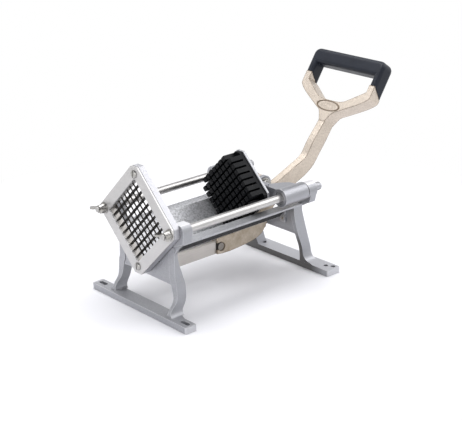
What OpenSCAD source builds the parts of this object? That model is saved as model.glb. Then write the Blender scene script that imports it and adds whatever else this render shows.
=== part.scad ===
// French fry cutter with a lever-driven pusher, a V-shaped potato trough and a square blade cassette.
// Origin: on the table, midway between the two front mounting slots.
// +X runs to the rear, where the handle is; +Y is the left side; +Z is up.

/* [Guide rods] */
// Height of the guide rod axes above the table
rod_height = 135; // [120:1:150]
// Distance of each guide rod axis from the centre plane
rod_spread = 73.5; // [68:0.5:80]
// Guide rod diameter
rod_d = 12; // [10:0.5:14]
// Threaded rod end diameter
stud_d = 8; // [6:0.5:10]

/* [Blade cassette] */
// Side of the square blade opening
opening_side = 90; // [81:1:95]
// Number of cells along one side
cell_count = 9; // [7:1:11]
// Outer side of the square cassette
cassette_side = 121.5; // [115:0.5:130]
// Outer corner radius of the cassette
cassette_corner = 12; // [8:0.5:16]
// Reach of the trimmed cassette corners from the centre
cassette_reach = 79; // [77:0.5:81]
// Front face of the cassette
cassette_front = -6; // [-9:0.1:-4]
// Rear face of the cassette
cassette_rear = 7.3; // [5:0.1:10]
// Thickness of the front clamp plate
clamp_t = 2.6; // [2:0.1:4]
// Blade strip thickness
blade_t = 0.8; // [0.5:0.1:1.2]
// Width of the deep blade strips
blade_w = 7.2; // [6.5:0.1:10.4]
// Width of the shallow cross strips
cross_w = 2; // [1.5:0.1:2.5]
// Distance of the cross strips behind the front edge of the deep strips
cross_set = 5; // [4:0.1:5.2]
// Distance of the clamp plate screws from the centre
plate_screw_reach = 68.2; // [67.5:0.1:70]

/* [Supports] */
// Front face of the front support web
front_web = 10.4; // [9.5:0.1:11]
// Thickness of both support webs
web_t = 4; // [3:0.1:5]
// Depth of the front web's lower edge below the guide rod axes
front_web_drop = 85; // [80:1:90]
// Depth of the rear web's lower edge below the guide rod axes
rear_web_drop = 77; // [72:1:82]
// Half length of the front foot bar
foot_half = 107.2; // [100:0.1:115]
// Half length of the rear foot bar
rear_foot_half = 105.5; // [104:0.1:115]
// Foot bar thickness
foot_t = 9.3; // [7:0.1:12]
// Width of the front foot bar between the legs
foot_w = 23.3; // [21:0.1:26]
// Width of the rear foot bar
rear_foot_w = 27; // [25:0.5:30]
// Distance between the two front slot centres
slot_spacing = 187; // [175:1:195]
// Length of a front slot
slot_len = 17; // [12:0.5:22]
// Width of a front slot
slot_w = 7; // [5:0.5:9]
// Distance of the rear web behind the front ends of the rear bosses
boss_lead = 6.3; // [4:0.1:9]
// Foot hole diameter of the rear foot
foot_hole_d = 7; // [5:0.5:9]

/* [Trough] */
// Depth of the line where the two trough planes would meet, below the guide rod axes
trough_depth = 72.6; // [70:0.1:75]
// Trough wall thickness
trough_t = 3; // [2.5:0.1:4]
// Half width of the slot along the trough bottom
trough_slot = 20; // [16:0.5:22]
// Inner edge of the side flange
flange_in = 49; // [44:0.5:54]
// Outer edge of the side flange
flange_out = 66; // [60:0.5:70]

/* [Crosshead] */
// Travel of the crosshead along the rods
stroke = 165; // [150:1:170]
// Front end of the crosshead sleeves
sleeve_front = 200.3; // [198:0.1:204]
// Sleeve length
sleeve_len = 47; // [40:1:50]
// Sleeve outer radius
sleeve_r = 13.75; // [12:0.25:15]
// Bush outer radius
bush_r = 9.8; // [8:0.1:11]
// Lever pivot position along the rods
pivot_x = 227; // [222:0.5:232]
// Lever pivot bolt diameter
pivot_d = 10; // [8:0.5:12]

/* [Pusher] */
// Finger tips of the pusher block
finger_tip = 163; // [160:1:166]
// Root of the fingers
finger_root = 184; // [180:1:187]
// Rear face of the black pusher block
block_rear = 190; // [188:0.5:192]
// Pusher plate thickness
plate_t = 4; // [3:0.5:5]
// Finger width
finger_w = 7.2; // [6.5:0.1:8]
// Reach of the trimmed block corners from the rod axis plane
corner_reach = 57.5; // [54:0.5:60]

/* [Lever and link] */
// Lever thickness
lever_t = 13; // [11:0.5:14]
// Link bar thickness
link_t = 6.4; // [5:0.1:7]
// Lower lever joint, along X
joint_x = 146; // [142:0.5:150]
// Depth of the lower lever joint below the lever pivot
joint_drop = 80; // [78:0.5:82]
// Link length between its two eyes
link_len = 120; // [116:0.5:124]
// Link half height and eye radius
link_r = 9.5; // [8:0.1:11]
// Link pin diameter
link_pin_d = 8; // [6:0.5:9]
// Angle of the handle plane above the table
grip_angle = 56; // [50:0.5:62]

/* [Grip] */
// Half width of the plastic grip
grip_half = 73.5; // [68:0.5:78]
// Width of one grip arm
grip_arm = 13; // [11:0.5:16]
// Grip depth
grip_depth = 26.5; // [22:0.5:30]
// Length of the grip from its front cut to its top
grip_len = 41; // [36:0.5:46]
// Height of the grip cross bar
grip_bar = 25; // [20:0.5:30]

/* [Fits] */
// Radial clearance of turning and sliding fits
run_fit = 0.05; // [0.01:0.01:0.1]
// Radial clearance of pieces that do not move in their seats
seat_fit = 0.02; // [0:0.01:0.1]
// Gap between faces that pass each other
gap = 0.3; // [0.2:0.05:0.6]
// Gap between the crosshead sleeves and the rear bosses at rest
rest_gap = 1.5; // [0.5:0.1:3]

/* [Build] */
// Which piece to draw

/* [Hidden] */
$fn = 48;
eps = 0.01;
big = 400;
rod_r = rod_d / 2;
stud_r = stud_d / 2;
root2 = sqrt(2);

// cassette
pitch = opening_side / cell_count;
blade_count = cell_count - 1;
blade_seat = 3;
blade_end_gap = 0.2;
blade_front = cassette_front + clamp_t;
blade_back = blade_front + blade_w;
cross_front = blade_front + cross_set;
cross_back = cross_front + cross_w;
clamp_lip = 1;
clamp_opening = opening_side - 2 * clamp_lip;
groove_d = 0.6;
groove_w = 0.9;
plate_screw_r = 2.5;
plate_head_r = 5.8;
plate_head_t = 2.8;
plate_screw_end = 4.5;
head_slot = 0.7;
stud_hole_r = stud_r + 0.2;

// guide rods
front_web_rear = front_web + web_t;
rod_shoulder = cassette_rear + 4;
boss_tail = 6.6;
front_boss_tail = 9.6;
boss_front_end = front_web_rear + front_boss_tail;
boss_flat = 10.5;
boss_r = 12.5;
sleeve_rear = sleeve_front + sleeve_len;
rear_boss = sleeve_rear + rest_gap;
rear_x = rear_boss + boss_lead;
rear_web = rear_x + web_t;
rear_boss_end = rear_web + boss_tail;
rod_rear = rear_web - web_t / 2;
stud_front = cassette_front - 13;
stud_rear = rear_boss_end + 10;
washer_t = 1.5;
washer_r = 8.2;
nut_gap = 0.05;
nut_base = cassette_front - washer_t - nut_gap;
nut_len = 9;
nut_r = 6.8;
nut_top_r = 5.6;
wing_t = 3;
wing_tip_r = 3;
cap_nut_r = 6.2;
cap_nut_len = 15;
cap_dome = 2.4;

// trough, seen along the rods
flange_t = 3;
trough_vertex = rod_height - trough_depth;
flange_z = trough_vertex + flange_in;
trough_drop = trough_t * root2;
guard_in = 13;
guard_low = 3;
tab_in = trough_slot + 2;
tab_out = tab_in + 10;
tab_low = trough_vertex + tab_in - 12;
tab_t = 4;
tab_screw_y = (tab_in + tab_out) / 2;
tab_screw_z = tab_low + 5.5;
tab_screw_r = 2;
tab_head_r = 3.6;
tab_head_t = 2.4;

// supports: the legs splay towards the two ends of the cutter
leg_top_in = 50;
leg_top = min(flange_z - flange_t, trough_vertex - trough_drop + leg_top_in) - gap;
front_web_low = rod_height - front_web_drop;
rear_web_low = rod_height - rear_web_drop;
foot_sink = foot_t - 1;
foot_front = -10.5;
foot_end_w = 19.5;
foot_corner = 1.5;
front_leg_out = [[62.6, leg_top], [62.6, rod_height - 69], [64.8, rod_height - 80], [66.6, 38], [66.6, 26], [66, 16],
    [68, 11.5], [72.5, foot_sink]];
front_leg_in = [[57, foot_sink], [60, 12.5], [60.4, 20], [59.2, 28], [57, 38], [53, rod_height - 82],
    [50.8, rod_height - 77], [leg_top_in + 0.4, rod_height - 69], [leg_top_in + 0.4, leg_top]];
front_leg_fore = [[-4.6, foot_sink], [-4.2, 11], [-2.8, 15], [0.4, 20], [4.9, 25], [8, 30], [9.2, 37],
    [9.3, rod_height - 85], [9.3, leg_top]];
front_leg_aft = [[front_web_rear + 1.4, leg_top], [front_web_rear + 1.2, rod_height - 43], [18.4, rod_height - 56],
    [22, rod_height - 66], [25, rod_height - 80], [25.6, 42], [25, 32], [23.4, 25], [20.6, 19], [18.4, 14],
    [17.2, foot_sink]];
rear_leg_out = [[57.5, leg_top], [57.5, rod_height - 80], [57, 36], [56, 24], [57.5, 17.5], [62, 13], [70, 10.6],
    [78, foot_sink]];
rear_leg_in = [[46, foot_sink], [47.4, 14], [48.7, 22], [49.6, 36], [leg_top_in, rod_height - 80],
    [leg_top_in, leg_top]];
rear_leg_fore = [[-9.8, leg_top], [-9, rod_height - 43], [-4, rod_height - 65], [2, rod_height - 83], [8.6, 35],
    [12, 20], [13.8, 12], [14, foot_sink]];
rear_leg_aft = [[34, foot_sink], [31.4, 14], [29.6, 22], [26.6, 33], [19.4, rod_height - 80], [12.6, rod_height - 57],
    [8, rod_height - 40], [7, leg_top]];
rear_foot_front = rear_x + 14;
rear_holes = [[19.7, 98], [14.7, 88], [13.2, 45.5]];
foot_recess_half = 54;
foot_recess_d = 2;

// crosshead
bush_len = 12;
bush_inset = 1;
plate_rear = block_rear + plate_t;
wall_front = sleeve_front + 7.7;
wall_rear = wall_front + 9;
block_half = 38;
block_low = rod_height - 11;
block_top = rod_height + 11;
web_low = rod_height + 4;
web_top = rod_height + 8;
ear_in = lever_t / 2 + 1;
ear_out = ear_in + 6;
ear_r = 13.5;
slot_x = pivot_x - ear_r;
push_screw_y = 28;
push_screw_r = 3;
push_head_r = 5;
push_head_t = 3;
push_screw_tip = 186;
pivot_head_r = 8.2;
pivot_head_t = 5;
pivot_washer_t = 1.5;
pivot_washer_r = 10.5;
pivot_end = ear_out + pivot_washer_t + pivot_head_t + 2.5;

// pusher block
finger_half = (cell_count - 1) / 2 * pitch + finger_w / 2;
plate_side = 2 * finger_half + 4;
plate_reach = corner_reach + 0.6;

// lever and link
joint_z = rod_height - joint_drop;
lever_half = lever_t / 2;
link_half = link_t / 2;
tine_in = link_half + gap;
lever_boss_r = 12.5;
fork_front = joint_x - 9.3;
fork_back = joint_x + link_r + 1.5;
pin_r = link_pin_d / 2;
head_r = 6;
head_recess = 2.4;
head_t = 0.8;
pocket_low = 3;
pocket_high = 8;
anchor_x = joint_x - link_len;
ear_plate_t = 5;
anchor_ear_r = 9;
anchor_pin_r = 4;
anchor_head_r = 6;
anchor_head_t = 2.4;
bush_wall = 1.6;
socket_r = 2.6;
socket_t = 0.4;

// handle plane: local x runs along the handle, local z is its front normal
cut_x = pivot_x + 175.8;
cut_z = rod_height + 129.4;
fork_depth = 24;
cut_slant = 31.7;
fork_out = [[0, 72], [-17, 72], [-24, 69.5], [-35, 55], [-51, 26], [-58, 14], [-73, 6]];
fork_in = [[-38.3, 0], [-38, 12], [-35.5, 26], [-24.5, 43.5], [-13, 60], [-10, 61], [0, 61]];
tenon_len = 24;
tenon_half = 3.5;
tenon_mid = 66.5;
tenon_depth = 13;
badge_t = -47.5;
badge_long = 23;
badge_short = 8.3;
badge_rim = 1.1;
badge_rise = 0.6;
grip_edge = 6.4;
grip_corner = 11;
grip_proud = (grip_depth - fork_depth) / 2;

// lever outline in the side view, measured from the pivot
lever_top = [[17, -9], [32.6, -6.1], [60.4, 5], [91, 17.6]];
lever_bend = [[97.5, 22.5], [102.5, 30], [112.4, 43.3], [139.5, 73]];
lever_neck = [146, 78];
lever_back = [[157.6, 62.1], [139.3, 36.5], [125, 19.5], [117.4, 9.6], [108.6, 0.2], [93.2, -9.3], [75.7, -16.6],
    [53, -26.5], [35, -36.5], [22, -48], [13.5, -62], [5, -75.3], [-3.5, -82.4], [-18.1, -86.9], [-32.6, -88.7],
    [-44.9, -89.9], [-65.2, -91.2]];
lever_rise = [[-67, -64], [-47, -63.6], [-31, -60.2], [-20, -50.5], [-14, -37], [-12.1, -23]];
lever_seat = [[-11.5, -4], [-5, 3]];
lever_root = [5, -3];
// lower lever end, measured from its joint
lever_end = [[0, -10.6], [-9.3, -9.4], [-9.3, 11.7], [-4.6, 16]];

cast_grey = [0.74, 0.75, 0.76];
plate_grey = [0.80, 0.80, 0.80];
steel = [0.66, 0.66, 0.64];
dark_steel = [0.42, 0.41, 0.39];
champagne = [0.80, 0.75, 0.67];
link_grey = [0.74, 0.71, 0.67];
black_plastic = [0.06, 0.06, 0.07];
grip_black = [0.13, 0.15, 0.19];

// Point on a smooth curve through the points p, between p[i] and p[i + 1]
function bend(p, i, t) =
    let (a = p[max(i - 1, 0)], b = p[i], c = p[i + 1], d = p[min(i + 2, len(p) - 1)])
    0.5 * (2 * b + t * (c - a) + t * t * (2 * a - 5 * b + 4 * c - d) + t * t * t * (3 * b - a - 3 * c + d));
function smooth(p, n = 4) = concat([for (i = [0 : len(p) - 2]) for (k = [0 : n - 1]) bend(p, i, k / n)],
    [p[len(p) - 1]]);
function turned(p) = [for (i = [len(p) - 1 : -1 : 0]) [p[i][0], -p[i][1]]];
function oval(a, b) = [for (k = [0 : 47]) [a * cos(k * 7.5), b * sin(k * 7.5)]];
function from_point(p, x, z) = [for (q = p) [x + q[0], z + q[1]]];
function blade_pos(i) = (i - (blade_count - 1) / 2) * pitch;
function cell_pos(i) = (i - (cell_count - 1) / 2) * pitch;

// Plate in the YZ plane between two X positions
module plate_yz(x0, x1) {
    translate([x0, 0, 0])
        rotate([90, 0, 90])
            linear_extrude(x1 - x0)
                children();
}

// Plate in the XZ plane between two Y positions
module plate_xz(y0, y1) {
    translate([0, y1, 0])
        rotate([90, 0, 0])
            linear_extrude(y1 - y0)
                children();
}

// Round bar along X
module bar_x(x0, x1, r, y = 0, z = 0) {
    translate([x0, y, z])
        rotate([0, 90, 0])
            cylinder(h = x1 - x0, r = r);
}

// Round bar along Y
module bar_y(y0, y1, r, x = 0, z = 0) {
    translate([x, y0, z])
        rotate([-90, 0, 0])
            cylinder(h = y1 - y0, r = r);
}

module box(x0, x1, y0, y1, z0, z1) {
    translate([x0, y0, z0])
        cube([x1 - x0, y1 - y0, z1 - z0]);
}

module both_sides() {
    children();
    mirror([0, 1, 0])
        children();
}

// Frame whose local Y and Z follow the sides of the square cassette
module diamond() {
    translate([0, 0, rod_height])
        rotate([45, 0, 0])
            children();
}

module round_square(side, r) {
    square([side - 2 * r, side], center = true);
    square([side, side - 2 * r], center = true);
    for (a = [-1, 1])
        for (b = [-1, 1])
            translate([a * (side / 2 - r), b * (side / 2 - r)])
                circle(r);
}

// ---------- supports ----------
// Leg cut out of two side views: its outline seen along the rods and its outline seen from the side
module leg(outer, inner, fore, aft, x = 0) {
    intersection() {
        plate_yz(x - big / 2, x + big / 2)
            polygon(concat(smooth(outer), smooth(inner)));
        plate_xz(0, foot_half)
            polygon(from_point(concat(smooth(fore), smooth(aft)), x, 0));
    }
}

module front_web_shape() {
    polygon([[0, trough_vertex], [flange_out, trough_vertex + flange_out], [rod_spread + 8, rod_height - 8],
        [rod_spread + 5, rod_height - 19], [69, leg_top - 1], [63, leg_top - 9], [60, leg_top - 26],
        [60, front_web_low + 2], [57, front_web_low - 4], [54, front_web_low - 1.2], [49, front_web_low],
        [0, front_web_low]]);
}

module rear_web_shape() {
    polygon([[0, trough_vertex + trough_slot], [trough_slot, trough_vertex + trough_slot], [flange_out, trough_vertex + flange_out], [rod_spread + 8, rod_height - 8],
        [rod_spread + 5, rod_height - 19], [flange_out, flange_z - flange_t], [57.5, leg_top - 4],
        [57, rear_web_low + 6], [53.5, rear_web_low - 3], [50, rear_web_low], [0, rear_web_low]]);
}

// Gusset that carries a guide rod boss on the web and on the trough flange
module boss_gusset(x0, x1, side, rise) {
    plate_yz(x0, x1)
        polygon([[57, flange_z], [flange_out, flange_z], [side, flange_z + rise],
            [rod_spread + boss_r - 0.4, rod_height - 3],
            [rod_spread - boss_r + 0.4, rod_height - 3], [60, rod_height - 9]]);
}

module foot_slot(y) {
    for (s = [-1, 1])
        translate([0, y + s * (slot_len - slot_w) / 2, -eps])
            cylinder(h = foot_t + 2 * eps, d = slot_w);
    translate([-slot_w / 2, y - (slot_len - slot_w) / 2, -eps])
        cube([slot_w, slot_len - slot_w, foot_t + 2 * eps]);
}

module front_foot() {
    foot_mid = foot_front + foot_w;
    foot_end = foot_front + foot_end_w;
    linear_extrude(foot_t)
        polygon([[foot_front, -eps], [foot_mid, -eps], [foot_mid, 72], [foot_end, 82],
            [foot_end, foot_half - foot_corner], [foot_end - foot_corner, foot_half],
            [foot_front + foot_corner, foot_half], [foot_front, foot_half - foot_corner]]);
}

module link_anchor_ear() {
    difference() {
        union() {
            bar_y(tine_in, tine_in + ear_plate_t, anchor_ear_r, anchor_x, joint_z);
            box(front_web_rear - 1, anchor_x, tine_in, tine_in + ear_plate_t, front_web_low, joint_z + anchor_ear_r);
        }
        bar_y(tine_in - 1, tine_in + ear_plate_t + 1, anchor_pin_r + seat_fit, anchor_x, joint_z);
    }
}

module front_support() {
    color(cast_grey)
        difference() {
            union() {
                both_sides() {
                    plate_yz(front_web, front_web_rear)
                        front_web_shape();
                    leg(front_leg_out, front_leg_in, front_leg_fore, front_leg_aft);
                    intersection() {
                        bar_x(cassette_rear, boss_front_end, boss_r, rod_spread, rod_height);
                        box(0, big, 0, big, 0, rod_height + boss_flat);
                    }
                    boss_gusset(cassette_rear, boss_front_end - 0.6, rod_spread + boss_r - 1.5, 8.5);
                    front_foot();
                    link_anchor_ear();
                }
            }
            both_sides() {
                bar_x(rod_shoulder, boss_front_end + 1, rod_r + seat_fit, rod_spread, rod_height);
                bar_x(cassette_rear - 1, rod_shoulder + eps, stud_hole_r, rod_spread, rod_height);
                foot_slot(slot_spacing / 2);
                bar_x(front_web - 1, front_web_rear + 1, tab_screw_r + seat_fit, tab_screw_y, tab_screw_z);
            }
            box(foot_front + 4, foot_front + foot_w - 6, -foot_recess_half, foot_recess_half, -1, foot_recess_d);
        }
}

module rear_support() {
    color(cast_grey)
        difference() {
            union() {
                both_sides() {
                    plate_yz(rear_x, rear_web)
                        rear_web_shape();
                    leg(rear_leg_out, rear_leg_in, rear_leg_fore, rear_leg_aft, rear_x);
                    bar_x(rear_boss, rear_boss_end, boss_r, rod_spread, rod_height);
                    boss_gusset(rear_x - 2, rear_boss_end - 0.6, 81, 5);
                    translate([rear_foot_front, 0, 0])
                        linear_extrude(foot_t)
                            polygon([[0, -eps], [rear_foot_w, -eps], [rear_foot_w, rear_foot_half - foot_corner],
                                [rear_foot_w - foot_corner, rear_foot_half], [foot_corner, rear_foot_half],
                                [0, rear_foot_half - foot_corner]]);
                }
            }
            both_sides() {
                bar_x(rear_boss - 1, rod_rear, rod_r + seat_fit, rod_spread, rod_height);
                bar_x(rod_rear - eps, rear_boss_end + 1, stud_hole_r, rod_spread, rod_height);
                bar_x(rear_x - 1, rear_web + 1, tab_screw_r + seat_fit, tab_screw_y, tab_screw_z);
                for (p = rear_holes)
                    translate([rear_foot_front + p[0], p[1], -1])
                        cylinder(h = foot_t + 2, d = foot_hole_d);
            }
        }
}

// ---------- guide rods ----------
module guide_rod(side) {
    color(steel)
        union() {
            bar_x(rod_shoulder, rod_rear, rod_r, side * rod_spread, rod_height);
            bar_x(stud_front, rod_shoulder + eps, stud_r, side * rod_spread, rod_height);
            bar_x(rod_rear - eps, stud_rear, stud_r, side * rod_spread, rod_height);
        }
}

module left_guide_rod() {
    guide_rod(1);
}

module right_guide_rod() {
    guide_rod(-1);
}

module rod_end_nuts() {
    color(steel)
        both_sides()
            translate([rear_boss_end, rod_spread, rod_height])
                rotate([0, 90, 0])
                    difference() {
                        rotate_extrude()
                            polygon([[0, 0], [cap_nut_r, 0], [cap_nut_r, cap_nut_len],
                                [cap_nut_r - cap_dome / 2, cap_nut_len + cap_dome * 0.7],
                                [cap_nut_r / 2, cap_nut_len + cap_dome], [0, cap_nut_len + cap_dome]]);
                        translate([0, 0, -1])
                            cylinder(h = stud_rear - rear_boss_end + 1, r = stud_r + seat_fit);
                    }
}

// ---------- trough ----------
module trough_wall(edge) {
    difference() {
        union() {
            plate_yz(front_web_rear, rear_x)
                polygon([[edge, trough_vertex + edge], [flange_in, flange_z], [flange_out, flange_z],
                    [flange_out, flange_z - flange_t], [flange_in + trough_drop - flange_t, flange_z - flange_t],
                    [edge, trough_vertex + edge - trough_drop]]);
            for (x = [front_web_rear, rear_x - tab_t])
                plate_yz(x, x + tab_t)
                    polygon([[tab_in, tab_low], [tab_out, tab_low], [tab_out, trough_vertex + tab_out - 1],
                        [tab_in, trough_vertex + tab_in - 1]]);
        }
        for (x = [front_web_rear, rear_x - tab_t])
            bar_x(x - 1, x + tab_t + 1, tab_screw_r + seat_fit, tab_screw_y, tab_screw_z);
    }
}

module left_trough_wall() {
    color(cast_grey)
        union() {
            trough_wall(guard_in);
            box(front_web_rear, rear_x, guard_in, guard_in + trough_t, joint_z - guard_low,
                trough_vertex + guard_in - 1);
        }
}

module right_trough_wall() {
    color(cast_grey)
        mirror([0, 1, 0])
            trough_wall(trough_slot);
}

module trough_screws() {
    color(steel)
        both_sides() {
            bar_x(front_web + 0.5, front_web_rear + tab_t + eps, tab_screw_r, tab_screw_y, tab_screw_z);
            bar_x(front_web_rear + tab_t, front_web_rear + tab_t + tab_head_t, tab_head_r, tab_screw_y, tab_screw_z);
            bar_x(rear_x - tab_t - 0.5, rear_web + eps, tab_screw_r, tab_screw_y, tab_screw_z);
            bar_x(rear_web, rear_web + tab_head_t, tab_head_r, tab_screw_y, tab_screw_z);
        }
}

// ---------- blade cassette ----------
module cassette_holes(screw_end) {
    both_sides()
        bar_x(cassette_front - 1, cassette_rear + 1, stud_hole_r, rod_spread, rod_height);
    for (s = [-1, 1])
        bar_x(cassette_front - 1, screw_end, plate_screw_r + seat_fit, 0, rod_height + s * plate_screw_reach);
}

module cassette_plate(x0, x1, inset) {
    intersection() {
        diamond()
            plate_yz(x0, x1)
                round_square(cassette_side - 2 * inset, cassette_corner - inset);
        reach_box(x0 - 1, x1 + 1, cassette_reach - inset);
    }
}

module reach_box(x0, x1, reach) {
    box(x0, x1, -reach, reach, rod_height - reach, rod_height + reach);
}

module blade_frame() {
    slit = blade_t / 2 + seat_fit;
    side = opening_side / 2;
    color(cast_grey)
        difference() {
            union() {
                cassette_plate(blade_front + groove_w, cassette_rear, 0);
                cassette_plate(blade_front, blade_front + groove_w + eps, groove_d);
            }
            diamond() {
                box(blade_front - 1, cassette_rear + 1, -side, side, -side, side);
                for (i = [0 : blade_count - 1]) {
                    box(blade_front - 1, blade_back, blade_pos(i) - slit, blade_pos(i) + slit,
                        -side - blade_seat, side + blade_seat);
                    box(blade_front - 1, cross_back, -side - blade_seat, side + blade_seat,
                        blade_pos(i) - slit, blade_pos(i) + slit);
                }
            }
            cassette_holes(plate_screw_end + 0.5);
        }
}

module blade_clamp_plate() {
    side = clamp_opening / 2;
    color(plate_grey)
        difference() {
            cassette_plate(cassette_front, blade_front, 0);
            diamond()
                box(cassette_front - 1, blade_front + 1, -side, side, -side, side);
            cassette_holes(blade_front + 1);
        }
}

// Deep strips, slotted from behind where the cross strips pass
module front_blades() {
    end = opening_side / 2 + blade_seat - blade_end_gap;
    slit = blade_t / 2 + seat_fit;
    color(dark_steel)
        diamond()
            difference() {
                for (i = [0 : blade_count - 1])
                    box(blade_front, blade_back, blade_pos(i) - blade_t / 2, blade_pos(i) + blade_t / 2, -end, end);
                for (i = [0 : blade_count - 1])
                    box(cross_front - seat_fit, blade_back + 1, -end, end, blade_pos(i) - slit, blade_pos(i) + slit);
            }
}

module rear_blades() {
    end = opening_side / 2 + blade_seat - blade_end_gap;
    color(dark_steel)
        diamond()
            for (i = [0 : blade_count - 1])
                box(cross_front, cross_back, -end, end, blade_pos(i) - blade_t / 2, blade_pos(i) + blade_t / 2);
}

module blade_frame_screws() {
    color(steel)
        for (s = [-1, 1])
            difference() {
                union() {
                    bar_x(cassette_front - eps, plate_screw_end, plate_screw_r, 0,
                        rod_height + s * plate_screw_reach);
                    translate([cassette_front, 0, rod_height + s * plate_screw_reach])
                        rotate([0, -90, 0])
                            rotate_extrude()
                                polygon([[0, 0], [plate_head_r, 0], [plate_head_r, plate_head_t * 0.45],
                                    [plate_head_r * 0.85, plate_head_t * 0.8], [plate_head_r * 0.5, plate_head_t],
                                    [0, plate_head_t]]);
                }
                box(cassette_front - plate_head_t - 1, cassette_front - plate_head_t / 2, -head_slot, head_slot,
                    rod_height + s * plate_screw_reach - plate_head_r - 1,
                    rod_height + s * plate_screw_reach + plate_head_r + 1);
            }
}

module wing_nut_washers() {
    color(steel)
        both_sides()
            difference() {
                bar_x(cassette_front - washer_t, cassette_front, washer_r, rod_spread, rod_height);
                bar_x(cassette_front - washer_t - 1, cassette_front + 1, stud_hole_r, rod_spread, rod_height);
            }
}

// ---------- wing nuts ----------
module wing_nut(side) {
    color(steel)
        translate([nut_base, side * rod_spread, rod_height])
            difference() {
                union() {
                    rotate([0, -90, 0])
                        cylinder(h = nut_len, r1 = nut_r, r2 = nut_top_r);
                    for (s = [-1, 1])
                        scale([1, s, 1]) {
                            linear_extrude(wing_t, center = true)
                                polygon([[-1.5, 4], [-2.5, 8], [-5.5, 11.5], [-8.5, 14], [-12.5, 14.6], [-14.4, 12],
                                    [-13, 8.5], [-nut_len + 0.5, 4]]);
                            translate([-11.6, 11.8, -wing_t / 2])
                                cylinder(h = wing_t, r = wing_tip_r);
                        }
                }
                bar_x(-nut_len - 1, 1, stud_r + run_fit);
            }
}

module left_wing_nut() {
    wing_nut(1);
}

module right_wing_nut() {
    wing_nut(-1);
}

// ---------- crosshead ----------
module crosshead() {
    color(cast_grey)
        difference() {
            union() {
                both_sides() {
                    bar_x(sleeve_front, sleeve_rear, sleeve_r, rod_spread, rod_height);
                    plate_xz(ear_in, ear_out)
                        polygon([[wall_front, block_low], [pivot_x, rod_height - ear_r], [pivot_x, rod_height + ear_r],
                            [wall_front, block_top]]);
                    bar_y(ear_in, ear_out, ear_r, pivot_x, rod_height);
                    translate([0, 0, web_low])
                        linear_extrude(web_top - web_low)
                            polygon([[wall_front, block_half - 8], [pivot_x, block_half - 1], [sleeve_rear - 11, block_half + 4],
                                [sleeve_rear - 3.5, block_half + 10], [sleeve_rear, block_half + 22],
                                [sleeve_rear, rod_spread], [wall_front, rod_spread]]);
                    box(wall_front, wall_rear, block_half - 2, rod_spread - 8, block_low + 2, web_low + 1);
                }
                box(plate_rear, slot_x, -block_half, block_half, block_low, block_top);
            }
            both_sides() {
                bar_x(sleeve_front - 1, sleeve_rear + 1, rod_r + 1, rod_spread, rod_height);
                for (x = [sleeve_front - 1, sleeve_rear - bush_inset - bush_len])
                    bar_x(x, x + bush_len + bush_inset + 1, bush_r + seat_fit, rod_spread, rod_height);
                bar_y(0, ear_out + 1, pivot_d / 2 + seat_fit, pivot_x, rod_height);
                bar_x(plate_rear - 1, slot_x + 5, push_screw_r + seat_fit, push_screw_y, rod_height);
            }
            box(slot_x, wall_rear + big, -ear_in, ear_in, block_low - 1, block_top + 10);
        }
}

module crosshead_bushes() {
    color([0.72, 0.6, 0.4])
        both_sides()
            for (x = [sleeve_front + bush_inset, sleeve_rear - bush_inset - bush_len])
                difference() {
                    bar_x(x, x + bush_len, bush_r, rod_spread, rod_height);
                    bar_x(x - 1, x + bush_len + 1, rod_r + run_fit, rod_spread, rod_height);
                }
}

module pusher_plate() {
    color(cast_grey)
        difference() {
            intersection() {
                diamond()
                    plate_yz(block_rear, plate_rear)
                        square(plate_side, center = true);
                reach_box(block_rear - 1, plate_rear + 1, plate_reach);
            }
            both_sides()
                bar_x(block_rear - 1, plate_rear + 1, push_screw_r + seat_fit, push_screw_y, rod_height);
        }
}

// The four fingers in the block's outermost corners are left out
function is_corner(i, j) = (i == 0 || i == cell_count - 1) && (j == 0 || j == cell_count - 1);

module pusher_block() {
    color(black_plastic)
        difference() {
            intersection() {
                diamond() {
                    box(finger_root, block_rear, -finger_half, finger_half, -finger_half, finger_half);
                    for (i = [0 : cell_count - 1])
                        for (j = [0 : cell_count - 1])
                            if (!is_corner(i, j))
                                box(finger_tip, finger_root + eps, cell_pos(i) - finger_w / 2,
                                    cell_pos(i) + finger_w / 2, cell_pos(j) - finger_w / 2,
                                    cell_pos(j) + finger_w / 2);
                }
                reach_box(finger_tip - 1, block_rear + 1, corner_reach);
            }
            both_sides()
                bar_x(push_screw_tip, block_rear + 1, push_screw_r + seat_fit, push_screw_y, rod_height);
        }
}

module pusher_screws() {
    color(steel)
        both_sides() {
            bar_x(push_screw_tip + 1, slot_x + eps, push_screw_r, push_screw_y, rod_height);
            bar_x(slot_x, slot_x + push_head_t, push_head_r, push_screw_y, rod_height);
        }
}

// ---------- lever pivot ----------
module lever_pivot_bolt() {
    color(steel)
        difference() {
            union() {
                bar_y(-ear_out - pivot_washer_t - eps, pivot_end, pivot_d / 2, pivot_x, rod_height);
                bar_y(-ear_out - pivot_washer_t - pivot_head_t, -ear_out - pivot_washer_t, pivot_head_r,
                    pivot_x, rod_height);
            }
            translate([pivot_x, -ear_out - pivot_washer_t - pivot_head_t / 2, rod_height])
                rotate([90, 0, 0])
                    cylinder(h = pivot_head_t, r = pivot_d / 2 - 1, $fn = 6);
        }
}

module lever_pivot_nut() {
    color(steel)
        difference() {
            translate([pivot_x, ear_out + pivot_washer_t, rod_height])
                rotate([-90, 0, 0])
                    cylinder(h = pivot_head_t, r = pivot_head_r + 0.8, $fn = 6);
            bar_y(0, pivot_end + 1, pivot_d / 2 + seat_fit, pivot_x, rod_height);
        }
}

module pivot_washers() {
    color(steel)
        both_sides()
            difference() {
                bar_y(ear_out, ear_out + pivot_washer_t, pivot_washer_r, pivot_x, rod_height);
                bar_y(ear_out - 1, ear_out + pivot_washer_t + 1, pivot_d / 2 + seat_fit, pivot_x, rod_height);
            }
}

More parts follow.
